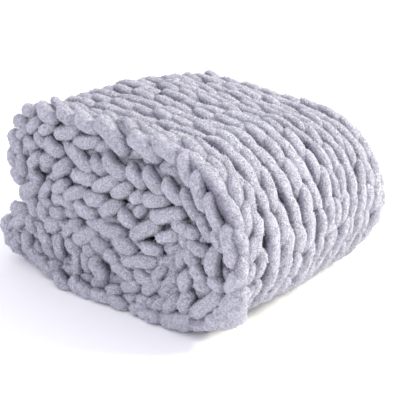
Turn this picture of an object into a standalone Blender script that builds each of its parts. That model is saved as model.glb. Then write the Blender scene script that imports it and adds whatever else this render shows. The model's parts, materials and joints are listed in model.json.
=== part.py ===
"""A chunky knit throw of plush yarn, folded in three across and then back and forth into a soft block."""

import math
from collections import namedtuple

import bmesh
import bpy
import numpy as np

# Folded size in metres: X runs along the ribs to the big fold, Y across them, Z up
DEPTH = 0.333
LAYER = 0.058
LAYER_GAP = 0.0045
LOWER_LEFT = -0.2145
UPPER_LEFT = -0.182
RIGHT = 0.2145

# Ribs: every knit column shows its two legs as two ribs. A layer is the cloth folded in three across,
# so three more rows of stitches turn round each of its edges
RIBS = 12
EDGE_ROWS = 3
RIB_STEPS = 4
GROOVE = 0.007
EDGE_STEPS = 3
INNER_STEPS = 6
REST_FLAT = 0.0024

# Heights of the middle lines of the four layers
LAYER_STEP = LAYER + LAYER_GAP
BOTTOM_Z = LAYER / 2 - REST_FLAT
LOWER_FLAP_Z = BOTTOM_Z + LAYER_STEP
UPPER_FLAP_Z = LOWER_FLAP_Z + LAYER_STEP
TOP_Z = UPPER_FLAP_Z + LAYER_STEP

# Radii of the middle line in the two small folds on the left and in the big one on the right
LOBE_RADIUS = LAYER_STEP / 2
FOLD_RADIUS = (TOP_Z - BOTTOM_Z) / 2
UPPER_LOBE_X = UPPER_LEFT + LAYER / 2 + LOBE_RADIUS
LOWER_LOBE_X = LOWER_LEFT + LAYER / 2 + LOBE_RADIUS
FOLD_X = RIGHT - LAYER / 2 - FOLD_RADIUS
LOWER_FLAP_END_X = FOLD_X - 0.013
TUCK_TURN = math.radians(160)

# How the pile has settled: its back and its big fold sink, the two lower layers are pressed flatter on the left,
# the big fold is fuller in front, and all edges belly and wander a little
BACK_SINK = 0.10
RIGHT_SINK = 0.057
PRESS = 0.039
LEAN = 0.006
FRONT_FULLNESS = 0.033
BELLY = 0.0105
WANDER = 0.0035
WAVE = 0.003

COLOUR = (0.49, 0.47, 0.60, 1.0)

# One stretch of the route of the layers, in XZ: its length, how far it turns, and its number of stations
Stretch = namedtuple("Stretch", "name length turn stations")
HALF_TURN = -math.pi
ROUTE = (
    Stretch("tucked end", TUCK_TURN * LOBE_RADIUS, TUCK_TURN, 7),
    Stretch("upper flap", FOLD_X - UPPER_LOBE_X, 0.0, 7),
    Stretch("upper left fold", math.pi * LOBE_RADIUS, HALF_TURN, 8),
    Stretch("top", FOLD_X - UPPER_LOBE_X, 0.0, 10),
    Stretch("right fold", math.pi * FOLD_RADIUS, HALF_TURN, 13),
    Stretch("bottom", FOLD_X - LOWER_LOBE_X, 0.0, 10),
    Stretch("lower left fold", math.pi * LOBE_RADIUS, HALF_TURN, 8),
    Stretch("lower flap", LOWER_FLAP_END_X - LOWER_LOBE_X, 0.0, 6),
)


def stations():
    """Points of the middle line with the way out of the fold at each: rows of x, z, out_x, out_z, length."""
    # The upper flap's end is tucked round inside the big fold, so the route starts on that small arc
    heading, travelled = math.pi - TUCK_TURN, 0.0
    x = FOLD_X + LOBE_RADIUS * math.sin(heading)
    z = UPPER_FLAP_Z - LOBE_RADIUS - LOBE_RADIUS * math.cos(heading)
    rows = [(x, z, -math.sin(heading), math.cos(heading), travelled)]
    for stretch in ROUTE:
        step = stretch.length / stretch.stations
        bend = stretch.turn / stretch.stations
        # The chord of each small arc, so that the stations lie on the circle itself
        chord = step if not bend else 2 * (stretch.length / abs(stretch.turn)) * math.sin(abs(bend) / 2)
        for _ in range(stretch.stations):
            x += chord * math.cos(heading + bend / 2)
            z += chord * math.sin(heading + bend / 2)
            heading += bend
            travelled += step
            rows.append((x, z, -math.sin(heading), math.cos(heading), travelled))
    return np.array(rows)


def layer_outline():
    """Outline of one layer across the ribs, as rows of y and height over its middle line."""
    row_radius = LAYER / 2 / EDGE_ROWS
    row_heights = [LAYER / 2 - row_radius * (2 * row + 1) for row in range(EDGE_ROWS)]
    rib_start = row_radius - DEPTH / 2
    rib_pitch = (DEPTH - 2 * row_radius) / RIBS
    rows = []
    for step in range(RIBS * RIB_STEPS + 1):
        across = (step % RIB_STEPS) / RIB_STEPS
        dip = GROOVE * (2 * across - 1) ** 2
        rows.append((rib_start + rib_pitch * step / RIB_STEPS, LAYER / 2 - dip))
    for centre in row_heights:
        for step in range(EDGE_STEPS + 1):
            angle = math.radians(66 - 132 * step / EDGE_STEPS)
            rows.append((-rib_start + row_radius * math.cos(angle), centre + row_radius * math.sin(angle)))
    for step in range(INNER_STEPS + 1):
        rows.append((-rib_start * (1 - 2 * step / INNER_STEPS), -LAYER / 2))
    for centre in reversed(row_heights):
        for step in range(EDGE_STEPS + 1):
            angle = math.radians(-66 + 132 * step / EDGE_STEPS)
            rows.append((rib_start - row_radius * math.cos(angle), centre + row_radius * math.sin(angle)))
    return np.array(rows)


def settle(points, travelled):
    """The same points after the pile has sunk and wandered, with the underside kept flat at the surface."""
    x, y, z = points[..., 0], points[..., 1], points[..., 2]
    top = TOP_Z + LAYER / 2
    across = 2 * y / DEPTH
    level = z / top
    back = np.clip(y / DEPTH + 0.5, 0, 1)
    right = np.clip((x - LOWER_LEFT) / (RIGHT - LOWER_LEFT), 0, 1)
    height = 1 - BACK_SINK * back ** 2 - RIGHT_SINK * right ** 2
    height += WAVE / top * np.sin(21 * x + 3) * np.sin(17 * y + 1)
    pressed = z - PRESS * (1 - right) * (1 - np.abs(2 * level - 1))
    side = WANDER * np.sin(travelled * 31 + 2.1 * np.sin(travelled * 13)) * across ** 3
    side += LEAN * (level - 0.5) + BELLY * np.clip(across, -1, 1) * (1 - (2 * level - 1) ** 2)
    end = WANDER * np.sin(y * 26 + 1 + 18 * z) - FRONT_FULLNESS * np.clip(x / RIGHT, 0, 1) * across
    return np.stack([x + end, y + side, np.maximum(pressed * height, 0.0)], axis=-1)


def folded_points():
    """All points of the folded cloth, one ring of the layer's outline at each station."""
    route, outline = stations(), layer_outline()
    middle_x, middle_z, out_x, out_z, travelled = (column[:, None] for column in route.T)
    y, out = outline[:, 0][None, :], outline[:, 1][None, :]
    points = np.stack([middle_x + out_x * out, y + 0 * middle_x, middle_z + out_z * out], axis=-1)
    points = settle(points, travelled)
    low, high = points.min(axis=(0, 1)), points.max(axis=(0, 1))
    return points - np.array([(low[0] + high[0]) / 2, (low[1] + high[1]) / 2, 0.0])


def plush(name, colour):
    """Matt short-pile yarn."""
    material = bpy.data.materials.new(name)
    material.use_nodes = True
    shader = material.node_tree.nodes["Principled BSDF"]
    shader.inputs["Base Color"].default_value = colour
    shader.inputs["Roughness"].default_value = 0.95
    shader.inputs["Metallic"].default_value = 0.0
    material.diffuse_color = colour
    return material


def make_blanket():
    """The one closed solid of the folded cloth."""
    points = folded_points()
    mesh = bpy.data.meshes.new("blanket")
    bm = bmesh.new()
    rings = [[bm.verts.new(point) for point in ring] for ring in points]
    for ring, following in zip(rings, rings[1:]):
        for i in range(len(ring)):
            bm.faces.new((ring[i - 1], ring[i], following[i], following[i - 1]))
    bm.faces.new(rings[0])
    bm.faces.new(reversed(rings[-1]))
    bmesh.ops.recalc_face_normals(bm, faces=bm.faces)
    for face in bm.faces:
        face.smooth = len(face.verts) == 4
    bm.to_mesh(mesh)
    bm.free()
    blanket = bpy.data.objects.new("blanket", mesh)
    mesh.materials.append(plush("plush_yarn", COLOUR))
    bpy.context.scene.collection.objects.link(blanket)
    return blanket


for old in list(bpy.data.objects):
    bpy.data.objects.remove(old, do_unlink=True)
make_blanket()
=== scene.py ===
"""Looks of a folded chunky knit throw: plush yarn laid stitch by stitch round its folded layers."""

import json
import math
from collections import namedtuple

import bpy
import numpy as np
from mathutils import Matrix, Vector, bvhtree

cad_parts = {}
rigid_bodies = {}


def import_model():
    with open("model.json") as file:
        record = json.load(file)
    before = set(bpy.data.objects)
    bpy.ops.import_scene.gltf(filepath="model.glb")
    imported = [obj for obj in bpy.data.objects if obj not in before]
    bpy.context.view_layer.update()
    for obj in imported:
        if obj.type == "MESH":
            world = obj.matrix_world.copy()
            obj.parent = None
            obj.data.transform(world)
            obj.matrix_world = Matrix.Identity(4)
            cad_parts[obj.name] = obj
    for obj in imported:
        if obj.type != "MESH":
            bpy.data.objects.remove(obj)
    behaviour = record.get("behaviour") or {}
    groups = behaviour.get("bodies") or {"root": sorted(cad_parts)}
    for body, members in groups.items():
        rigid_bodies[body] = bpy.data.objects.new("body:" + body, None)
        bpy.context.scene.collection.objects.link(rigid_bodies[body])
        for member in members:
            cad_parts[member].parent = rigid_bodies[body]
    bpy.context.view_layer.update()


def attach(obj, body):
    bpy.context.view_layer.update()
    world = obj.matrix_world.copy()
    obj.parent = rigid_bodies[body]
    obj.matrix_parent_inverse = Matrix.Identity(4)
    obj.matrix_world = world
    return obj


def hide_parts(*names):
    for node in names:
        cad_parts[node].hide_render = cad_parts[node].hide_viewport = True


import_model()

# Folded size in metres, as in the part: X runs along the ribs to the big fold, Y across them, Z up
DEPTH = 0.333
LAYER = 0.058
LAYER_GAP = 0.0045
LOWER_LEFT = -0.2145
UPPER_LEFT = -0.182
RIGHT = 0.2145
RIBS = 12
EDGE_ROWS = 3
REST_FLAT = 0.0024

LAYER_STEP = LAYER + LAYER_GAP
BOTTOM_Z = LAYER / 2 - REST_FLAT
UPPER_FLAP_Z = BOTTOM_Z + 2 * LAYER_STEP
TOP_Z = UPPER_FLAP_Z + LAYER_STEP
LOBE_RADIUS = LAYER_STEP / 2
FOLD_RADIUS = (TOP_Z - BOTTOM_Z) / 2
UPPER_LOBE_X = UPPER_LEFT + LAYER / 2 + LOBE_RADIUS
LOWER_LOBE_X = LOWER_LEFT + LAYER / 2 + LOBE_RADIUS
FOLD_X = RIGHT - LAYER / 2 - FOLD_RADIUS
LOWER_FLAP_END_X = FOLD_X - 0.013
TUCK_TURN = math.radians(160)
HALF_TURN = -math.pi
ROW_RADIUS = LAYER / 2 / EDGE_ROWS
RIB_START = ROW_RADIUS - DEPTH / 2
RIB_PITCH = -2 * RIB_START / RIBS

# How the pile has settled, as in the part
BACK_SINK = 0.10
RIGHT_SINK = 0.057
PRESS = 0.039
LEAN = 0.006
FRONT_FULLNESS = 0.033
BELLY = 0.0105
WANDER = 0.0035
WAVE = 0.003

# One stretch of the route of the layers, in XZ: its length, how far it turns, and its knitted courses
Stretch = namedtuple("Stretch", "name length turn courses")
ROUTE = (
    Stretch("tucked end", TUCK_TURN * LOBE_RADIUS, TUCK_TURN, 3),
    Stretch("upper flap", FOLD_X - UPPER_LOBE_X, 0.0, 6),
    Stretch("upper left fold", math.pi * LOBE_RADIUS, HALF_TURN, 3),
    Stretch("top", FOLD_X - UPPER_LOBE_X, 0.0, 6),
    Stretch("right fold", math.pi * FOLD_RADIUS, HALF_TURN, 9),
    Stretch("bottom", FOLD_X - LOWER_LOBE_X, 0.0, 6),
    Stretch("lower left fold", math.pi * LOBE_RADIUS, HALF_TURN, 3),
    Stretch("lower flap", LOWER_FLAP_END_X - LOWER_LOBE_X, 0.0, 6),
)
COURSES = sum(stretch.courses for stretch in ROUTE)

# Stitches: each leg of a knit stitch is one plump loop of yarn
LEG_SIDES = 8
LEG_RINGS = 9
RANDOM_SEED = 11

# The camera: how far round and up it stands, its distance from what it looks at, and its lens
CAMERA_AZIMUTH = math.radians(44.1)
CAMERA_ELEVATION = math.radians(19.3)
CAMERA_DISTANCE = 1.923
CAMERA_TARGET = (0.0, 0.0, 0.1)
CAMERA_LENS = 130.4
CAMERA_SHIFT = (-0.0136, 0.0007)

# The photo's width in pixels, the lens in those pixels for a sensor 36 mm wide, and the settled pile's height
PHOTO_PIXELS = 400
FOCAL_PIXELS = CAMERA_LENS / 36 * PHOTO_PIXELS
SETTLED_HEIGHT = 0.241

# Plush pile: spikes of fibre on each piece of pile, and the reach and width of one
PILE_SPIKES = 47000
PILE_HEIGHT = 0.0024
PILE_WIDTH = 0.00076
PILE_CLEAR = 0.0045


def route_marks():
    """Where each stretch begins: its first course, place, heading, bend, length of a course and distance."""
    heading = math.pi - TUCK_TURN
    x = FOLD_X + LOBE_RADIUS * math.sin(heading)
    z = UPPER_FLAP_Z - LOBE_RADIUS - LOBE_RADIUS * math.cos(heading)
    course, distance, marks = 0, 0.0, []
    for stretch in ROUTE:
        bend = stretch.turn / stretch.length
        marks.append((course, x, z, heading, bend, stretch.length / stretch.courses, distance))
        if bend:
            x += (math.sin(heading + stretch.turn) - math.sin(heading)) / bend
            z -= (math.cos(heading + stretch.turn) - math.cos(heading)) / bend
        else:
            x += stretch.length * math.cos(heading)
            z += stretch.length * math.sin(heading)
        heading += stretch.turn
        course += stretch.courses
        distance += stretch.length
    return marks


MARKS = route_marks()


def middle_line(course):
    """Points of the layers' middle line at these courses, with the way out of the fold and the distance."""
    x, z, out_x, out_z, distance = (np.zeros(np.shape(course)) for _ in range(5))
    for first, start_x, start_z, start, bend, pace, start_distance in MARKS:
        beyond = course >= first if first else np.ones(np.shape(course), bool)
        along = (course - first) * pace
        heading = start + bend * along
        if bend:
            new_x = start_x + (np.sin(heading) - math.sin(start)) / bend
            new_z = start_z - (np.cos(heading) - math.cos(start)) / bend
        else:
            new_x = start_x + along * math.cos(start)
            new_z = start_z + along * math.sin(start)
        x, z = np.where(beyond, new_x, x), np.where(beyond, new_z, z)
        out_x, out_z = np.where(beyond, -np.sin(heading), out_x), np.where(beyond, np.cos(heading), out_z)
        distance = np.where(beyond, start_distance + along, distance)
    return x, z, out_x, out_z, distance


def settle(x, y, z, travelled):
    """The points after the pile has sunk and wandered, with the underside kept flat at the surface."""
    top = TOP_Z + LAYER / 2
    across = 2 * y / DEPTH
    level = z / top
    back = np.clip(y / DEPTH + 0.5, 0, 1)
    right = np.clip((x - LOWER_LEFT) / (RIGHT - LOWER_LEFT), 0, 1)
    height = 1 - BACK_SINK * back ** 2 - RIGHT_SINK * right ** 2
    height += WAVE / top * np.sin(21 * x + 3) * np.sin(17 * y + 1)
    pressed = z - PRESS * (1 - right) * (1 - np.abs(2 * level - 1))
    side = WANDER * np.sin(travelled * 31 + 2.1 * np.sin(travelled * 13)) * across ** 3
    side += LEAN * (level - 0.5) + BELLY * np.clip(across, -1, 1) * (1 - (2 * level - 1) ** 2)
    end = WANDER * np.sin(y * 26 + 1 + 18 * z) - FRONT_FULLNESS * np.clip(x / RIGHT, 0, 1) * across
    return np.stack([x + end, y + side, np.maximum(pressed * height, 0.0)], axis=-1)


def folded(course, y, out):
    """Places in the folded pile of points on the cloth, before the pile is set over its origin."""
    x, z, out_x, out_z, travelled = middle_line(course)
    return settle(x + out_x * out, y, z + out_z * out, travelled)


def layer_outline(inset, edge_inset, steps=4):
    """Outline of one layer, this far inside its faces and edges: y and height over its middle."""
    half, thick = DEPTH / 2 - edge_inset, LAYER / 2 - inset
    top = [(half * (2 * i / (steps * RIBS) - 1), thick) for i in range(steps * RIBS + 1)]
    return np.array(top + [(y, -out) for y, out in reversed(top)])


def pile_centre():
    """Middle of the unmoved pile in X and Y, which the part puts over its origin."""
    course = np.linspace(0, COURSES, 8 * COURSES + 1)[:, None]
    outline = layer_outline(0.0, 0.0)
    points = folded(course, outline[None, :, 0], outline[None, :, 1]).reshape(-1, 3)
    return np.append((points.min(axis=0) + points.max(axis=0))[:2] / 2, 0.0)


CENTRE = pile_centre()


def deselect_all():
    """Leave nothing selected, so that an operator meets only its own piece."""
    for obj in bpy.context.view_layer.objects:
        obj.select_set(False)


def piece_of(name, points, faces, material, values, smooth=True):
    """A new piece from points and faces, with its named values kept at its points."""
    mesh = bpy.data.meshes.new(name)
    mesh.from_pydata(points.tolist(), [], faces)
    for label, data in values.items():
        attribute = mesh.attributes.new(label, "FLOAT", "POINT")
        attribute.data.foreach_set("value", np.asarray(data, np.float32))
    mesh.materials.append(material)
    if smooth:
        mesh.shade_smooth()
    piece = bpy.data.objects.new(name, mesh)
    bpy.context.scene.collection.objects.link(piece)
    return piece


def leg_form():
    """One plump leg of a stitch, modelled once: points as along, around and girth, and its faces."""
    deselect_all()
    bpy.ops.mesh.primitive_uv_sphere_add(segments=LEG_SIDES, ring_count=LEG_RINGS, radius=1.0)
    ball = bpy.context.active_object
    points = np.array([vertex.co[:] for vertex in ball.data.vertices])
    faces = [tuple(polygon.vertices) for polygon in ball.data.polygons]
    bpy.data.objects.remove(ball, do_unlink=True)
    along = points[:, 2]
    girth = (1 - np.abs(along) ** 2.7).clip(0, 1) ** 0.5
    around = np.arctan2(points[:, 1], points[:, 0])
    return along, around, girth, faces


# How the legs of one kind of row are made: half sizes, dive under the next, hook at the end, and pitch
Legs = namedtuple("Legs", "length width depth dive hook pitch")
RIB_LEGS = Legs(0.0300, 0.0107, 0.0112, 0.0032, 0.0034, 0.0375)
EDGE_LEGS = Legs(0.0215, 0.0102, 0.0102, 0.0030, 0.0, 0.0292)
LONG_LEGS = Legs(0.0262, 0.0100, 0.0104, 0.0036, 0.0, 0.0330)
RUNG_LEGS = Legs(0.0070, 0.0062, 0.0062, 0.0, 0.0, 0.0335)

# How far behind the stitches of the front face its rows of filling stitches lie
FACE_FILL = 0.012

# How much lower the corner row lies round the back edge
BACK_DROP = 0.007

# A row of legs: its place across the layer, how far out it lies and its half width at each mark of the route,
# which way it faces, how its legs lean on the upper flap and on the rest, and its first and last course
Row = namedtuple("Row", "legs ys outs widths facing flap_lean lean first last")
MARK_COURSES = tuple(mark[0] for mark in MARKS) + (COURSES,)
TOP_COURSE = MARK_COURSES[3]

# The ribs, in millimetres across the pile: where each lies on the top and on the big fold
Rib = namedtuple("Rib", "top fold")
RIB_TABLE = (
    Rib(-141, -153),
    Rib(-120, -127),
    Rib(-98, -103),
    Rib(-76, -77),
    Rib(-54, -50),
    Rib(-32, -23),
    Rib(-10, 3),
    Rib(12, 26),
    Rib(34, 45),
    Rib(56, 64),
    Rib(78, 84),
    Rib(100, 104),
    Rib(122, 124),
    Rib(146, 146),
)
RIB_FILL = 0.45

# How much more painted shade the grooves between the ribs get than those of the edges, at each mark of the route
RIB_SHADE = (1.2, 1.2, 1.3, 1.55, 1.15, 0.6, 0.9, 1.2, 1.2)

# How far inside the layer's face the middle of a rib and of the first rib lies, how much lower than that the
# first ribs and higher the last ones lie round the upper fold on the left, how far a leg leans, and how wide the
# first three ribs are on the big fold beside the others
RIB_DEPTH = 0.0108
FIRST_RIB_DEPTH = 0.0138
LEFT_DROP = 0.004
RIB_LEAN = 0.0024
FIRST_RIBS_NARROWER = 0.88


def rib_rows():
    """The ribs along the outside of the pile, in pairs that are the two legs of a knit column."""
    first = MARK_COURSES[2] - 3
    last = MARK_COURSES[7] + 3
    places = np.array(RIB_TABLE) / 1000
    widths = RIB_FILL * np.gradient(places, axis=0)
    for number, (place, width) in enumerate(zip(places, widths)):
        lean = RIB_LEAN if number % 2 == 0 else -RIB_LEAN
        drop = LEFT_DROP * (2 if number == 0 else max(1 - number / 4, -1))
        depth = RIB_DEPTH if number else FIRST_RIB_DEPTH
        outs = tuple(LAYER / 2 - depth - drop * (mark in (2, 3)) for mark in range(len(MARK_COURSES)))
        width = width * np.array([1.0, FIRST_RIBS_NARROWER if number < 3 else 1.0])
        ys, wide = ((top,) * 4 + (fold,) * 2 + (top,) * 3 for top, fold in (place, width))
        yield Row(RIB_LEGS, ys, outs, wide, math.radians(90), lean, lean, first, last)


# Between the first ribs short turns of yarn cross like rungs: the courses from first to last, how many
# courses from one to the next, and how far the ribs stand aside between them
RUNG_FIRST = 17
RUNG_LAST = 28
RUNG_COURSES = 1.1
RUNG_OPEN = 0.0034


def rung_rows():
    """Short turns of yarn that cross between the first ribs, where these stand a little apart."""
    outs = (LAYER / 2 - 0.0155,) * len(MARK_COURSES)
    for y, late in ((-0.1395, 0.0), (-0.1145, RUNG_COURSES / 2)):
        wide = (RUNG_LEGS.width,) * len(MARK_COURSES)
        span = RUNG_FIRST + late, RUNG_LAST + late
        yield Row(RUNG_LEGS, (y,) * len(MARK_COURSES), outs, wide, math.radians(90), 0.0095, 0.0095, *span)


# Rows of stitches round the front and back edges of the layers, in millimetres: how far out they lie at each
# mark of the route, how high they face in degrees, how they lean on the upper flap and on the rest, how far
# they lie back from the edge, and the courses from first to last
EdgeRow = namedtuple("EdgeRow", "legs outs lift flap_lean lean back first last")
EDGES = (
    EdgeRow(LONG_LEGS, (20, 20, 19, 18, 18, 18, 17, 17, 18), 36, -9, -9, 0, 0.3, COURSES - 0.3),
    EdgeRow(EDGE_LEGS, (5, 5, 4, -1, -1, 0, 0, 0, 0), 4, 8, 8, -1, 0.3, COURSES + 0.6),
    EdgeRow(EDGE_LEGS, (-12, -12, -14, -18, -19, -19, -19, -19, -19), -12, 8, -8, 1, 0.3, COURSES + 0.9),
    EdgeRow(EDGE_LEGS, (-29, -29, -27, -27, -27, -27, -27, -27, -27), -6, -11, -11, 1, 1.0, 10.3),
    EdgeRow(EDGE_LEGS, (-38, -38, -38, -38, -38, -38, -38, -38, -38), -10, 8, 8, 12, 19.0, 30.5),
)


def edge_rows():
    """The rows of stitches round the front and the back edges of the layers."""
    for side in (-1, 1):
        for row in EDGES:
            outs = tuple(out / 1000 for out in row.outs)
            back = row.back / 1000 + (FACE_FILL if side < 0 else 0.0)
            outs = outs if side < 0 or row.legs is not LONG_LEGS else tuple(out - BACK_DROP for out in outs)
            ys = (side * (DEPTH / 2 - ROW_RADIUS - 0.002 - back),) * len(MARK_COURSES)
            facing = math.radians(180 - row.lift if side < 0 else row.lift)
            leans = (-side * row.flap_lean / 1000, -side * row.lean / 1000)
            wide = (row.legs.width,) * len(MARK_COURSES)
            yield Row(row.legs, ys, outs, wide, facing, *leans, row.first, row.last)


def path_of(row):
    """Courses at fine steps along a row, and the length of the row up to each."""
    course = np.linspace(row.first, row.last, round(40 * (row.last - row.first)) + 1)
    x, z, out_x, out_z, _ = middle_line(course)
    out = np.interp(course, MARK_COURSES, row.outs)
    steps = np.hypot(np.diff(x + out_x * out), np.diff(z + out_z * out))
    return course, np.concatenate([[0.0], np.cumsum(steps)])


def stray(run, y):
    """How far the ribs stray across at these courses, each nearly as its neighbours do."""
    wave = 0.0022 * np.sin(0.62 * run + 8 * y) + 0.0016 * np.sin(1.45 * run + 21 * y + 1)
    return wave + 0.0009 * np.sin(2.6 * run + 160 * y)


def parted(number, run):
    """How far the first three ribs stand aside on the big fold, where small holes open between the rungs."""
    wave = 0.5 + 0.5 * np.cos(2 * math.pi * (run - RUNG_FIRST) / RUNG_COURSES)
    share = {0: -0.6 * wave, 1: 2 * wave - 1, 2: 0.8 * (1 - wave)}.get(number, 0 * run)
    window = np.clip((run - RUNG_FIRST + 0.5) / 1.5, 0, 1) * np.clip((RUNG_LAST + 0.5 - run) / 1.5, 0, 1)
    return RUNG_OPEN * share * window


def lay_row(number, row, form, chance):
    """Points and values of the legs of one row, at even steps along it, each a little different."""
    legs = row.legs
    course, length = path_of(row)
    count = round(length[-1] / legs.pitch)
    middle = (np.arange(count) + 0.5) * length[-1] / count
    loose = 1 + 0.6 * (np.interp(middle, length, course) > COURSES - 13)
    varied = [chance.normal(0, 1, count) * loose for _ in range(8)]
    tone = chance.uniform(0, 1, count)[:, None]
    middle = (middle + 0.0016 * varied[0])[:, None]
    half = (legs.length * (1 + 0.07 * varied[1]))[:, None]
    at = np.interp(middle[:, 0], length, course)
    width = (np.interp(at, MARK_COURSES, row.widths) * (1 + 0.06 * varied[2]))[:, None]
    depth = (legs.depth * (1 + 0.05 * varied[3]))[:, None]
    lean = (np.where(at < TOP_COURSE - 1.5, row.flap_lean, row.lean) * (1 + 0.2 * varied[4]))[:, None]
    dive = (legs.dive * (1 + 0.2 * varied[5]))[:, None]
    shift = (0.0014 * np.sin(np.arange(count) * 0.9 + number * 1.7) + 0.0010 * varied[6])[:, None]
    lift = (0.0009 * varied[7])[:, None]
    along, around, girth, _ = form
    along, around, girth = along[None, :], around[None, :], girth[None, :]
    lump = 1 + 0.07 * np.sin(3.1 * along + 40 * tone) * np.cos(around + 25 * tone)
    lump += 0.035 * np.sin(6 * along + 2 * around + 60 * tone)
    run = np.interp(middle + half * along, length, course)
    out = np.interp(run, MARK_COURSES, row.outs)
    row_y = np.interp(run, MARK_COURSES, row.ys)
    if row.legs is RIB_LEGS:
        row_y += stray(run, row_y) * (number > 0) + parted(number, run)
    facing_y, facing_out = math.cos(row.facing), math.sin(row.facing)

    def place(sideways, outwards):
        """Points this far to the side of the row and out from it."""
        y = row_y + sideways * facing_out + outwards * facing_y
        return folded(run, y, out - sideways * facing_y + outwards * facing_out)

    # The yarn keeps its thickness where the pile is pressed, so its girth is laid round its bent middle line
    sideways = shift + lean * along + np.sign(lean) * legs.hook * along ** 3
    outwards = lift - dive * (along + 0.35 * along ** 2)
    core = place(sideways, outwards)
    beside, above = place(sideways + 0.001, outwards) - core, place(sideways, outwards + 0.001) - core
    beside /= np.linalg.norm(beside, axis=-1, keepdims=True) + 1e-9
    above /= np.linalg.norm(above, axis=-1, keepdims=True) + 1e-9
    wide, high = width * girth * lump * np.cos(around), depth * girth * lump * np.sin(around)
    points = core + beside * wide[..., None] + above * high[..., None] - CENTRE
    points[..., 2] = np.maximum(points[..., 2], 0.0)
    # Painted shade: each leg is darker on its inner side, where it dips under its neighbours, and the ribs'
    # grooves darker still
    shade = np.interp(run, MARK_COURSES, RIB_SHADE) if row.legs is RIB_LEGS else 1.0
    painted_shade = np.clip((0.5 - high / (2 * depth)) * shade, 0, 1)
    return points, {"tone": np.broadcast_to(tone, painted_shade.shape), "painted_shade": painted_shade}


def lay_rows(rows, form, chance):
    """Points, faces and values of all the legs of these rows, bent round the folded pile."""
    faces = form[-1]
    laid = [lay_row(number, row, form, chance) for number, row in enumerate(rows)]
    points = np.concatenate([points for points, _ in laid])
    count, size = points.shape[:2]
    all_faces = [tuple(i + leg * size for i in face) for leg in range(count) for face in faces]
    values = {name: np.concatenate([v[name] for _, v in laid]).ravel() for name in ("tone", "painted_shade")}
    return points.reshape(-1, 3), all_faces, values
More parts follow.
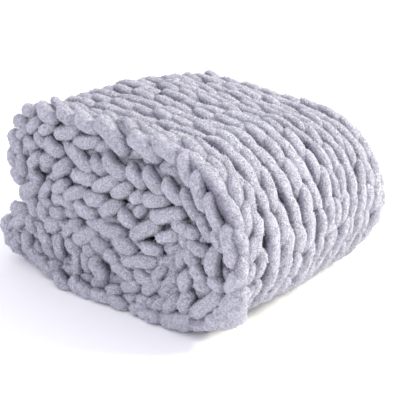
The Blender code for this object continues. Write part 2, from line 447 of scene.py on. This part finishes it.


# Stitches of the front face, each read one by one in the photo: the middle, half the length, the angle at which
# it falls to the right in degrees, the thickness, how far it lies behind the face in millimetres, and how far it
# bows to the side. The other lengths are in the photo's pixels, and the camera turns them into real sizes
Reading = namedtuple("Reading", "px py half angle width back bow")
FACE = (
    (29, 112, 8, 25, 12.5, 4, 0), (47, 113, 13.5, 46, 14.5, -1, 0), (66, 117, 12, 40, 14, -2, 0),
    (87, 122.5, 14.5, 41, 15.5, -3, 0), (111, 137.5, 23, 52, 17, -4, 2), (20, 122, 8, 20, 12, 5, 0),
    (34, 126, 9.5, -45, 11.5, 3, 0), (46, 128.5, 9.5, -20, 11.5, 3, 0), (66, 132, 14, -10, 14, 1, 0),
    (86, 141, 15, 0, 13, 3, 0), (103, 147.5, 10, -10, 11, 9, 0), (23, 133, 8, -45, 10, 7, 0),
    (31, 142, 8.5, 35, 11.5, 4, 0), (41, 140, 9.5, 50, 11.5, 4, 0), (54, 147.5, 12.5, 42, 14, 1, 0),
    (19, 147, 8, 80, 12, 7, 0), (21, 165, 11.5, 84, 12, 5, 0), (34, 161, 10, -52, 11, 3, 0),
    (48, 161, 9, -15, 14.5, 1, 0), (62, 168, 12, -32, 15, 0, 0), (69, 149, 9, 70, 10, 8, 0),
    (81, 160, 18, 56, 15.5, 0, 0), (84, 178, 15, 18, 14.5, 0, 0), (100, 165, 12, 42, 14.5, 4, 0),
    (116, 166, 17, 45, 16, 1, -2), (105, 184, 15.5, -17, 14, 0, 0), (121, 190, 13, -22, 14, 1, 0),
    (30, 189, 12.5, -30, 15, 3, 0), (45.5, 190, 10, -62, 10, 4, 0), (60, 187, 10.5, -30, 13, 3, 0),
    (75, 193.5, 13.5, -15, 13, 1, 0), (95, 198, 13, 14, 15, 0, 0), (63, 202, 13, 24, 11, 4, 3),
    (85, 209.5, 13.5, 32, 14, 1, 0), (110, 208, 13, -24, 14, 0, 0), (127, 218, 12, 48, 14, 0, 0),
    (18, 208, 8.5, 10, 13, 5, 0), (33, 206, 10.5, 84, 12, 8, 0), (43.5, 211, 11, 84, 11, 6, 0),
    (57, 212, 9, 10, 14, 7, 0), (72, 212, 8, 20, 12, 10, 0), (53, 225, 10, -10, 15.5, 4, 0),
    (71, 229, 10.5, -38, 11, 4, 0), (100, 222, 15, 8, 14, 7, 0), (8, 225, 9, 85, 14, 7, 0),
    (19.5, 219, 10, -42, 13, 4, 0), (31, 224, 9, 75, 12, 5, 0), (27, 241, 11, 82, 13, 6, 0),
    (18, 245, 9, 70, 13, 5, 0), (84, 236, 13, -20, 14, 1, 0), (45, 235, 12, 58, 12, 3, 0),
    (59, 246, 11.5, 82, 11.5, 1, 0), (72, 247, 10, 48, 12, 2, 0), (88, 250, 7, 45, 11, 2, 0),
    (99, 244, 10, 42, 13, 4, 0), (86, 262, 10, 78, 11, 1, 0), (98, 269, 13.5, 58, 16, -1, 0),
    (111, 258, 9.5, 36, 11.5, 4, 0), (42, 261, 7, -10, 11, 5, 0), (54, 266, 9, -5, 14, 3, 0),
    (70, 271, 8.5, 0, 12, 4, 0), (77, 265, 15, 84, 10, 1, 0), (62, 281.5, 12.5, 46, 13, 3, 0),
    (35, 253.5, 13, 44, 13, 6, 0), (49, 269, 12.5, 40, 13, 6, 0), (85, 279, 10, 5, 12, 2, 0),
    (75, 286, 9, 60, 12, 3, 0), (91, 291.5, 10, 30, 12, 2, 0), (99, 285, 9, -10, 12.5, 1, 0),
    (114, 291.5, 9.5, -5, 15, -1, 0), (117, 302.5, 11, 28, 12, 1, 0), (100, 297.5, 11, 22, 12, 5, 0),
    (84, 290, 11, 34, 12, 8, 0), (144, 148, 19.5, 38, 18.5, -3, 2), (166, 150.5, 17, 46, 15.5, -5, 0),
    (171, 170, 11.5, 20, 11.5, 10, 0), (186, 170.5, 17.5, 76, 14, -4, 0), (200, 191.5, 20.5, 82, 15, -4, 0),
    (214, 213, 20, 73, 13.5, -3, 0), (229.5, 247.5, 22, 82, 17, -3, 0), (219, 241, 12, 76, 12, 4, 0),
    (136, 176.5, 13.5, 60, 14, 0, 0), (154, 182.5, 17, 58, 15, 0, 0), (172.5, 192, 15, 60, 14, 0, 0),
    (190, 205, 18, 66, 13.5, 5, 0), (205, 228, 15, 62, 13, 7, 0), (137, 196.5, 9, -25, 13, 2, 0),
    (155, 201, 14, 4, 15, 0, 0), (140, 211, 8, -40, 12, 6, 0), (167, 216, 18, -5, 15.5, 1, 0),
    (184, 228, 15, 32, 14, 1, 0), (145, 231, 17, -22, 15, 0, 0), (112, 230.5, 15, 20, 14.5, 3, 0),
    (167, 237, 12, -8, 12, 3, 0), (124, 246, 13, 32, 15, 1, 0), (149, 248.5, 11, 18, 12, 5, 0),
    (174, 245.5, 12, -14, 13, 17, 0), (138, 261, 19, 4, 13, 2, 0), (174, 257, 12.5, -18, 11, 21, 0),
    (158, 260, 8, 0, 11, 12, 0), (122, 272, 14, 34, 13, 2, 0), (144, 276.5, 13, 38, 13.5, 3, 0),
    (158, 273, 11, -52, 11, 9, 0), (173, 270.5, 13, -34, 13, 20, 0), (131, 286, 11, -5, 14, 2, 0),
    (151, 287.5, 11, -36, 12, 5, 0), (170.5, 285, 14, -46, 14, 12, 0), (191, 257.5, 10.5, 58, 14, 2, 0),
    (198, 274.5, 11, 56, 14, 0, 0), (186, 282, 11.5, -70, 14.5, 0, 0), (213.5, 263, 15.5, -84, 15.5, 1, 0),
    (216, 283.5, 10, 50, 15, 1, 0), (202, 288, 9, 20, 12, 1, 0), (186, 302, 11.5, -74, 16, -1, 0),
    (172, 305.5, 12, -56, 13.5, 0, 0), (158.5, 309, 12, -58, 13.5, 1, 0), (207, 304, 21, -40, 17, -1, 0),
    (131, 299, 9, -12, 12, 3, 0), (142, 299.5, 6.5, 0, 11, 0, 0), (138, 308.5, 9.5, -8, 12.5, 3, 0),
    (149.5, 306, 8.5, -48, 11, 2, 0), (177, 320, 18, 4, 17, 2, 0), (196, 314, 10, 10, 14, 4, 0),
    (233, 282.5, 13, -60, 16, -1, 0), (231.5, 301.5, 16.5, -42, 18, -1, 0), (225, 318.5, 18, -10, 20, 2, 0),
    (197, 246.5, 12, 36, 14, 4, 0), (215, 311.5, 9, -34, 12, 9, 0), (14, 140, 9.5, 76, 13, 6, 0),
    (14, 157, 10.5, 88, 13, 6, 0), (18, 175, 9.5, 62, 13, 6, 0), (10, 238.5, 8, 70, 13, 7, 0),
    (27, 198, 9, 40, 12, 7, 0), (46, 199, 9, 60, 11, 8, 0), (199, 322, 9, 10, 13, 5, 0),
    (146, 314, 9, 20, 12, 5, 0), (213, 297, 9, -60, 13, 6, 0), (152, 317, 9, 14, 13, 2, 0),
    (168, 321, 9, 10, 13, 2, 0), (222, 315, 9, -25, 14, 1, 0), (235, 311, 10, -48, 14, 1, 0),
    (182, 324, 9, -10, 13, 2, 0), (203, 325, 10, 4, 13, 1, 0), (214, 320, 9, -16, 15, -3, 0),
    (208, 172, 8, 42, 11, 8, 0), (220, 193, 8, 56, 11, 8, 0), (229, 215, 8, 66, 11, 8, 0),
)
# How deep the ends of these stitches dive in metres, and in millimetres how much each is lengthened and
# thickened to meet its neighbours and how far a low one may come forward to clear the floor
FACE_DIVE = 0.0045
FACE_OVERLAP = 3.0
FACE_FORWARD = 13


def front_face(z, height=TOP_Z + LAYER / 2):
    """Where the front face stands in Y at this height, in a pile that is so high."""
    level = np.clip(z / height, 0, 1)
    return LEAN * (level - 0.5) - DEPTH / 2 - BELLY * (1 - (2 * level - 1) ** 2)


def camera_ways():
    """The camera's place, and the ways forward, to the right and up in its picture."""
    away = np.array([
        math.sin(CAMERA_AZIMUTH) * math.cos(CAMERA_ELEVATION),
        -math.cos(CAMERA_AZIMUTH) * math.cos(CAMERA_ELEVATION),
        math.sin(CAMERA_ELEVATION),
    ])
    right = np.cross(-away, (0, 0, 1))
    right /= np.linalg.norm(right)
    return np.array(CAMERA_TARGET) + away * CAMERA_DISTANCE, -away, right, np.cross(right, -away)


def on_face(px, py, deep):
    """The place this deep behind the front face that shows at a pixel of the photo."""
    eye, forward, right, up = camera_ways()
    across = (px - PHOTO_PIXELS / 2 + CAMERA_SHIFT[0] * PHOTO_PIXELS) / FOCAL_PIXELS
    down = (py - PHOTO_PIXELS / 2 - CAMERA_SHIFT[1] * PHOTO_PIXELS) / FOCAL_PIXELS
    ray = forward + across * right - down * up
    y = -DEPTH / 2
    for _ in range(6):
        place = eye + (y - eye[1]) / ray[1] * ray
        y = front_face(place[2], SETTLED_HEIGHT) - CENTRE[1] + deep
    return place


def measured(reading):
    """One stitch of the front face, to the nearest millimetre and degree: what lay_face asks for."""
    eye, forward, _, _ = camera_ways()
    pixels = FOCAL_PIXELS / ((on_face(reading.px, reading.py, 0) - eye) @ forward)
    radius = reading.width / 2 / pixels
    core = max(reading.half - reading.width / 2, 0.5)
    fall = math.radians(reading.angle)
    step_x, step_y = core * math.cos(fall), core * math.sin(fall)
    for back in np.arange(reading.back, -FACE_FORWARD - 1, -1):
        deep = back / 1000 + radius
        first = on_face(reading.px - step_x, reading.py - step_y, deep)
        last = on_face(reading.px + step_x, reading.py + step_y, deep)
        if min(first[2], last[2]) >= radius:
            break
    run = math.hypot(last[0] - first[0], last[2] - first[2]) / 2
    rise = math.degrees(math.atan2(last[2] - first[2], last[0] - first[0]))
    if rise <= -90:
        rise += 180
    elif rise > 90:
        rise -= 180
    x, _, z = (first + last) / 2
    sizes = (
        1000 * x, 1000 * max(z, radius + 0.0005), back, 1000 * (run + radius), rise, 2000 * radius,
        1000 * reading.bow / pixels,
    )
    return [round(float(size)) for size in sizes]


def buried(x, z):
    """How deep points of the front face lie inside the pile's outline: 0 at the outline, 1 well inside."""
    course = np.linspace(MARK_COURSES[2] - 2, MARK_COURSES[7] + 2, 500)
    outline, inner = (folded(course, RIB_START, out) - CENTRE for out in (LAYER / 2, LAYER / 3))
    way = (outline - inner)[:, [0, 2]]
    way /= np.linalg.norm(way, axis=1)[:, None]
    to_outline = np.stack([x, z], axis=-1)[:, None, :] - outline[None, :, [0, 2]]
    nearest = np.linalg.norm(to_outline, axis=2).argmin(axis=1)
    inside = -(to_outline[np.arange(len(x)), nearest] * way[nearest]).sum(axis=1)
    return np.clip(inside / 0.010, 0.2, 1.12)


def lay_face(form, chance):
    """Points, faces and values of the stitches of the front face, each laid where it shows."""
    along, around, _, faces = form
    laid, values = [], {"tone": [], "painted_shade": []}
    for x, z, back, half, rise, width, bow in (measured(Reading(*row)) for row in FACE):
        turn, tone = math.radians(rise), chance.uniform()
        lump = 1 + 0.08 * np.sin(3.1 * along + 40 * tone) * np.cos(around + 25 * tone)
        lump += 0.05 * np.sin(4 * along + 60 * tone) + 0.03 * np.sin(7 * along + 2 * around + 30 * tone)
        half, width, bow = half + FACE_OVERLAP, width + FACE_OVERLAP, bow + 1.3 * chance.normal()
        core = 1 - width / 2 / half
        girth = np.sqrt(1 - ((np.abs(along) - core) / (1 - core)).clip(0, 1) ** 2)
        radius = width / 2000 * girth * lump
        sideways = radius * np.cos(around) + bow / 1000 * (1 - along ** 2)
        height = z / 1000 + half / 1000 * along * math.sin(turn) + sideways * math.cos(turn)
        deep = (back + width / 2) / 1000 + FACE_DIVE * along ** 2
        laid.append(np.stack([
            x / 1000 + half / 1000 * along * math.cos(turn) - sideways * math.sin(turn),
            front_face(z / 1000) + deep - radius * np.sin(around),
            np.maximum(height, 0.0),
        ], axis=-1))
        values["tone"].append(np.full(along.shape, tone))
        # Painted shade: each stitch is darker on its far side, and this fades towards the pile's outline
        deep_share = buried(laid[-1][:, 0], laid[-1][:, 2])
        values["painted_shade"].append((0.5 - 0.5 * girth * np.sin(around)) * deep_share)
    size = len(along)
    all_faces = [tuple(i + leg * size for i in face) for leg in range(len(laid)) for face in faces]
    return np.concatenate(laid), all_faces, {name: np.concatenate(v) for name, v in values.items()}


# Strands of the first and last rows in the hollow of the big fold at the back: middle in X and Z, how far
# from the edge, half length, and the angle at which they rise
Strand = namedtuple("Strand", "x z back half_length angle")
STRANDS = (
    Strand(0.060, 0.088, 0.006, 0.026, 8),
    Strand(0.098, 0.100, 0.016, 0.024, 16),
    Strand(0.104, 0.084, 0.020, 0.026, 34),
    Strand(0.110, 0.066, 0.022, 0.028, 42),
    Strand(0.086, 0.068, 0.018, 0.024, 50),
    Strand(0.128, 0.060, 0.020, 0.022, 28),
    Strand(0.132, 0.082, 0.026, 0.022, 60),
    Strand(0.070, 0.072, 0.012, 0.022, -30),
)


def lay_strands(form, chance):
    """Points, faces and values of the strands in the cavity at the back, darkened by painted shade."""
    along, around, girth, faces = form
    laid, values = [], {"tone": [], "painted_shade": []}
    for strand in STRANDS:
        rise = math.radians(strand.angle)
        width = EDGE_LEGS.width * (1 + 0.06 * chance.normal())
        length = strand.half_length * along
        across = 0.003 * np.sin(2 * along + 5 * strand.x) - width * girth * np.cos(around)
        points = np.stack([
            strand.x + length * math.cos(rise) - across * math.sin(rise),
            DEPTH / 2 - ROW_RADIUS - strand.back + width * girth * np.sin(around),
            strand.z + length * math.sin(rise) + across * math.cos(rise),
        ], axis=-1)
        laid.append(points - CENTRE)
        values["tone"].append(np.full(along.shape, chance.uniform()))
        # Painted shade: the strands are dark overall and darkest on their inner sides
        values["painted_shade"].append(0.35 - 0.3 * girth * np.sin(around))
    size = len(along)
    all_faces = [tuple(i + leg * size for i in face) for leg in range(len(laid)) for face in faces]
    return np.concatenate(laid), all_faces, {name: np.concatenate(v) for name, v in values.items()}


def join(parts):
    """Several sets of points, faces and values as one set."""
    points, faces, values, offset = [], [], {}, 0
    for part_points, part_faces, part_values in parts:
        points.append(part_points)
        faces += [tuple(i + offset for i in face) for face in part_faces]
        offset += len(part_points)
        for label, data in part_values.items():
            values.setdefault(label, []).append(data)
    return np.concatenate(points), faces, {label: np.concatenate(data) for label, data in values.items()}


def knit(material):
    """The knitted cloth: all legs of its stitches that can be seen, as one piece."""
    chance = np.random.default_rng(RANDOM_SEED)
    form = leg_form()
    rows = lay_rows([*rib_rows(), *rung_rows(), *edge_rows()], form, chance)
    points, faces, values = join([rows, lay_face(form, chance), lay_strands(form, chance)])
    return piece_of("knit", points, faces, material, values)


def inner_cloth(material):
    """The inside of the layers, which shows only deep between the stitches, darkened all over by painted shade.
    """
    course = np.linspace(0.15, COURSES - 0.15, 6 * COURSES + 1)[:, None]
    outline = layer_outline(0.0155, 0.027, 2)
    points = folded(course, outline[None, :, 0], outline[None, :, 1]) - CENTRE
    rings, size = points.shape[:2]
    faces = []
    for ring in range(rings - 1):
        for i in range(size):
            j = (i + 1) % size
            a, b = ring * size, (ring + 1) * size
            faces.append((a + i, b + i, b + j, a + j))
    faces.append(tuple(range(size)))
    faces.append(tuple(reversed(range((rings - 1) * size, rings * size))))
    count = rings * size
    # Painted shade: the whole inside is given the darkening of a deep dip
    values = {"tone": np.full(count, 0.5), "painted_shade": np.full(count, 0.6)}
    return piece_of("inner_cloth", points.reshape(-1, 3), faces, material, values)


def open_places(cloth, inside):
    """Places on the yarn that nothing covers, with the way out and the painted shade there: more than needed."""
    tree = bvhtree.BVHTree.FromPolygons(*solid_of(cloth, inside))
    mesh = cloth.data
    mesh.calc_loop_triangles()
    corners = np.array([triangle.vertices[:] for triangle in mesh.loop_triangles])
    points = np.empty(len(mesh.vertices) * 3, np.float32)
    normals = np.empty(len(mesh.vertices) * 3, np.float32)
    mesh.vertices.foreach_get("co", points)
    mesh.vertices.foreach_get("normal", normals)
    points, normals = points.reshape(-1, 3).astype(float), normals.reshape(-1, 3).astype(float)
    first, second, third = (points[corners[:, i]] for i in range(3))
    area = np.linalg.norm(np.cross(second - first, third - first), axis=1)
    chance = np.random.default_rng(RANDOM_SEED + 1)
    painted_shade = np.empty(len(mesh.vertices), np.float32)
    mesh.attributes["painted_shade"].data.foreach_get("value", painted_shade)
    chosen = chance.choice(len(corners), size=11 * PILE_SPIKES, p=area / area.sum())
    weight = chance.dirichlet((1, 1, 1), len(chosen))[:, :, None]
    places = (points[corners[chosen]] * weight).sum(axis=1)
    ways = (normals[corners[chosen]] * weight).sum(axis=1)
    painted_shades = (painted_shade[corners[chosen]] * weight[:, :, 0]).sum(axis=1)
    ways /= np.linalg.norm(ways, axis=1)[:, None]
    free = places[:, 2] > 0.004
    for i in np.flatnonzero(free):
        start = Vector(places[i] + 0.0004 * ways[i])
        free[i] = tree.ray_cast(start, Vector(ways[i]), PILE_CLEAR)[0] is None
    return places[free], ways[free], painted_shades[free]


def solid_of(*pieces):
    """All points and faces of these pieces, for finding what covers what."""
    points, faces = [], []
    for piece in pieces:
        offset = len(points)
        points += [vertex.co[:] for vertex in piece.data.vertices]
        faces += [[i + offset for i in polygon.vertices] for polygon in piece.data.polygons]
    return points, faces


def spikes(name, places, ways, painted_shades, material, chance):
    """A piece of pile: one thin spike of fibre at each place, leaning a little its own way, with the yarn's
    painted shade.
    """
    count = len(places)
    lean = chance.normal(0, 0.38, (count, 3))
    lean -= (lean * ways).sum(axis=1)[:, None] * ways
    tip_way = ways + lean
    tip_way /= np.linalg.norm(tip_way, axis=1)[:, None]
    across = np.cross(ways, chance.normal(0, 1, (count, 3)))
    across /= np.linalg.norm(across, axis=1)[:, None]
    other = np.cross(ways, across)
    height = PILE_HEIGHT * chance.uniform(0.55, 1.15, count)[:, None]
    width = PILE_WIDTH * chance.uniform(0.8, 1.2, count)[:, None]
    foot = places - 0.0006 * ways
    corners = [foot + width * (math.cos(a) * across + math.sin(a) * other) for a in (0.0, 2.094, 4.189)]
    points = np.stack(corners + [places + height * tip_way], axis=1)
    points[..., 2] = np.maximum(points[..., 2], 0.0)
    base = 4 * np.arange(count)[:, None]
    faces = np.concatenate([base + np.array(face) for face in ((0, 2, 1), (0, 1, 3), (1, 2, 3), (2, 0, 3))])
    tip = np.tile([0.0, 0.0, 0.0, 1.0], count)
    tone = np.repeat(chance.uniform(0, 1, count), 4)
    # Each spike carries the painted shade of the yarn at its foot
    values = {"tip": tip, "tone": tone, "painted_shade": np.repeat(painted_shades, 4)}
    return piece_of(name, points.reshape(-1, 3), faces.tolist(), material, values, smooth=False)


def pile(cloth, inside, material):
    """The pile of the yarn, in four pieces: the front and the back, on the left and on the right."""
    places, ways, painted_shades = open_places(cloth, inside)
    chance = np.random.default_rng(RANDOM_SEED + 2)
    shuffled = chance.permutation(len(places))[:4 * PILE_SPIKES]
    order = shuffled[np.argsort(places[shuffled, 1] + 0.35 * (places[shuffled, 0] > 0), kind="stable")]
    names = ("front_left_pile", "back_left_pile", "front_right_pile", "back_right_pile")
    for name, part in zip(names, np.array_split(order, len(names))):
        yield spikes(name, places[part], ways[part], painted_shades[part], material, chance)


def pile_group():
    """Short plush pile: fine fibre grain over softer tufts, as a tone and a height."""
    group = bpy.data.node_groups.new("plush pile", "ShaderNodeTree")
    for name, default in (("Grain size", 620.0), ("Tuft size", 260.0), ("Contrast", 3.2)):
        socket = group.interface.new_socket(name, in_out="INPUT", socket_type="NodeSocketFloat")
        socket.default_value = default
    for name in ("Tone", "Height"):
        group.interface.new_socket(name, in_out="OUTPUT", socket_type="NodeSocketFloat")
    nodes, links = group.nodes, group.links
    inputs, outputs = nodes.new("NodeGroupInput"), nodes.new("NodeGroupOutput")
    place = nodes.new("ShaderNodeTexCoord")
    grain, tuft = nodes.new("ShaderNodeTexNoise"), nodes.new("ShaderNodeTexNoise")
    for noise, size, detail in ((grain, "Grain size", 3.0), (tuft, "Tuft size", 2.0)):
        noise.inputs["Detail"].default_value = detail
        noise.inputs["Roughness"].default_value = 0.6
        links.new(place.outputs["Object"], noise.inputs["Vector"])
        links.new(inputs.outputs[size], noise.inputs["Scale"])
    both = nodes.new("ShaderNodeMix")
    both.data_type = "FLOAT"
    both.inputs["Factor"].default_value = 0.42
    links.new(grain.outputs["Fac"], both.inputs["A"])
    links.new(tuft.outputs["Fac"], both.inputs["B"])
    centred = nodes.new("ShaderNodeMath")
    centred.operation = "SUBTRACT"
    centred.inputs[1].default_value = 0.5
    links.new(both.outputs["Result"], centred.inputs[0])
    scaled = nodes.new("ShaderNodeMath")
    scaled.operation = "MULTIPLY"
    links.new(centred.outputs["Value"], scaled.inputs[0])
    links.new(inputs.outputs["Contrast"], scaled.inputs[1])
    links.new(scaled.outputs["Value"], outputs.inputs["Tone"])
    links.new(both.outputs["Result"], outputs.inputs["Height"])
    return group


def plush_yarn(group):
    """Pale lavender-grey plush yarn, with painted shade darkening it where the stitches dip under each other."""
    material = bpy.data.materials.new("plush_yarn")
    material.use_nodes = True
    nodes, links = material.node_tree.nodes, material.node_tree.links
    shader = nodes["Principled BSDF"]
    shader.inputs["Roughness"].default_value = 0.95
    shader.inputs["Specular IOR Level"].default_value = 0.15
    shader.inputs["Sheen Weight"].default_value = 0.35
    shader.inputs["Sheen Roughness"].default_value = 0.55
    pile = nodes.new("ShaderNodeGroup")
    pile.node_tree = group
    tone, painted_shade = nodes.new("ShaderNodeAttribute"), nodes.new("ShaderNodeAttribute")
    tone.attribute_name, painted_shade.attribute_name = "tone", "painted_shade"
    # Painted shade: from the yarn's own colour where it lies open to a near-black violet deep in the dips
    ramp = nodes.new("ShaderNodeValToRGB")
    ramp.color_ramp.elements[0].color = (0.07, 0.06, 0.12, 1)
    ramp.color_ramp.elements[1].color = (0.435, 0.431, 0.508, 1)
    ramp.color_ramp.elements[0].position = 0.30
    ramp.color_ramp.elements[1].position = 0.80
    open_part = nodes.new("ShaderNodeMath")
    open_part.operation = "SUBTRACT"
    open_part.inputs[0].default_value = 1.0
    links.new(painted_shade.outputs["Fac"], open_part.inputs[1])
    links.new(open_part.outputs["Value"], ramp.inputs["Fac"])
    spread = nodes.new("ShaderNodeMapRange")
    spread.inputs["To Min"].default_value = 0.93
    spread.inputs["To Max"].default_value = 1.05
    links.new(tone.outputs["Fac"], spread.inputs["Value"])
    grain = nodes.new("ShaderNodeMath")
    grain.operation = "ADD"
    links.new(spread.outputs["Result"], grain.inputs[0])
    links.new(pile.outputs["Tone"], grain.inputs[1])
    colour = nodes.new("ShaderNodeVectorMath")
    colour.operation = "SCALE"
    links.new(ramp.outputs["Color"], colour.inputs[0])
    links.new(grain.outputs["Value"], colour.inputs["Scale"])
    links.new(colour.outputs["Vector"], shader.inputs["Base Color"])
    bump = nodes.new("ShaderNodeBump")
    bump.inputs["Strength"].default_value = 0.9
    bump.inputs["Distance"].default_value = 0.005
    links.new(pile.outputs["Height"], bump.inputs["Height"])
    links.new(bump.outputs["Normal"], shader.inputs["Normal"])
    return material


def plush_tips(group):
    """The pile itself, with painted light and shade: lighter at its tips than at its roots, and darker in the
    dips.
    """
    material = bpy.data.materials.new("plush_pile")
    material.use_nodes = True
    nodes, links = material.node_tree.nodes, material.node_tree.links
    shader = nodes["Principled BSDF"]
    shader.inputs["Roughness"].default_value = 0.95
    shader.inputs["Specular IOR Level"].default_value = 0.1
    tip, tone, painted_shade = (nodes.new("ShaderNodeAttribute") for _ in range(3))
    tip.attribute_name, tone.attribute_name, painted_shade.attribute_name = "tip", "tone", "painted_shade"
    # Painted light and shade: a shaded violet at the roots of the fibres, a lit pale tone at their tips
    ramp = nodes.new("ShaderNodeValToRGB")
    ramp.color_ramp.elements[0].color = (0.372, 0.369, 0.444, 1)
    ramp.color_ramp.elements[1].color = (0.565, 0.562, 0.625, 1)
    links.new(tip.outputs["Fac"], ramp.inputs["Fac"])
    spread = nodes.new("ShaderNodeMapRange")
    spread.inputs["To Min"].default_value = 0.78
    spread.inputs["To Max"].default_value = 1.16
    links.new(tone.outputs["Fac"], spread.inputs["Value"])
    # Painted shade: the fibres darken where the yarn beneath them dips
    shade = nodes.new("ShaderNodeMapRange")
    shade.inputs["From Min"].default_value = 0.12
    shade.inputs["From Max"].default_value = 0.68
    shade.inputs["To Min"].default_value = 1.06
    shade.inputs["To Max"].default_value = 0.56
    links.new(painted_shade.outputs["Fac"], shade.inputs["Value"])
    both = nodes.new("ShaderNodeMath")
    both.operation = "MULTIPLY"
    links.new(spread.outputs["Result"], both.inputs[0])
    links.new(shade.outputs["Result"], both.inputs[1])
    colour = nodes.new("ShaderNodeVectorMath")
    colour.operation = "SCALE"
    links.new(ramp.outputs["Color"], colour.inputs[0])
    links.new(both.outputs["Value"], colour.inputs["Scale"])
    links.new(colour.outputs["Vector"], shader.inputs["Base Color"])
    return material


def floor():
    """Plain pale floor under the throw."""
    deselect_all()
    bpy.ops.mesh.primitive_plane_add(size=14.0)
    plane = bpy.context.active_object
    plane.name = "floor"
    material = bpy.data.materials.new("pale_floor")
    material.use_nodes = True
    shader = material.node_tree.nodes["Principled BSDF"]
    shader.inputs["Base Color"].default_value = (0.98, 0.98, 0.985, 1)
    shader.inputs["Roughness"].default_value = 0.9
    plane.data.materials.append(material)


def area_light(name, place, aim, size, power, colour):
    """A soft square light at a place, pointed at another."""
    data = bpy.data.lights.new(name, "AREA")
    data.size = size
    data.energy = power
    light = bpy.data.objects.new(name, data)
    data.color = colour
    light.location = place
    light.rotation_euler = (Vector(aim) - Vector(place)).to_track_quat("-Z", "Y").to_euler()
    bpy.context.scene.collection.objects.link(light)


def studio():
    """Soft studio light from the upper right, with a bright room round it."""
    world = bpy.data.worlds.new("studio")
    world.use_nodes = True
    world.node_tree.nodes["Background"].inputs["Color"].default_value = (0.97, 0.96, 1.04, 1)
    world.node_tree.nodes["Background"].inputs["Strength"].default_value = 1.16
    bpy.context.scene.world = world
    area_light("key", (1.6, 1.35, 1.5), (0.0, 0.0, 0.1), 0.8, 86.0, (1.0, 0.985, 0.83))
    area_light("fill", (-0.4, -2.0, 0.5), (0.0, 0.0, 0.05), 1.4, 7.5, (1.0, 0.985, 1.0))
    bpy.context.scene.view_settings.view_transform = "Standard"


def camera():
    """The camera at the photo's angle."""
    data = bpy.data.cameras.new("camera")
    data.lens = CAMERA_LENS
    data.shift_x, data.shift_y = CAMERA_SHIFT
    view = bpy.data.objects.new("camera", data)
    away = Vector((
        math.sin(CAMERA_AZIMUTH) * math.cos(CAMERA_ELEVATION),
        -math.cos(CAMERA_AZIMUTH) * math.cos(CAMERA_ELEVATION),
        math.sin(CAMERA_ELEVATION),
    ))
    view.location = Vector(CAMERA_TARGET) + away * CAMERA_DISTANCE
    view.rotation_euler = (-away).to_track_quat("-Z", "Y").to_euler()
    bpy.context.scene.collection.objects.link(view)
    bpy.context.scene.camera = view


camera()
studio()
floor()
grain = pile_group()
yarn = plush_yarn(grain)
cloth = knit(yarn)
inside = inner_cloth(yarn)
fibres = list(pile(cloth, inside, plush_tips(grain)))
for piece in (cloth, inside, *fibres):
    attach(piece, "root")
    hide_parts("blanket")
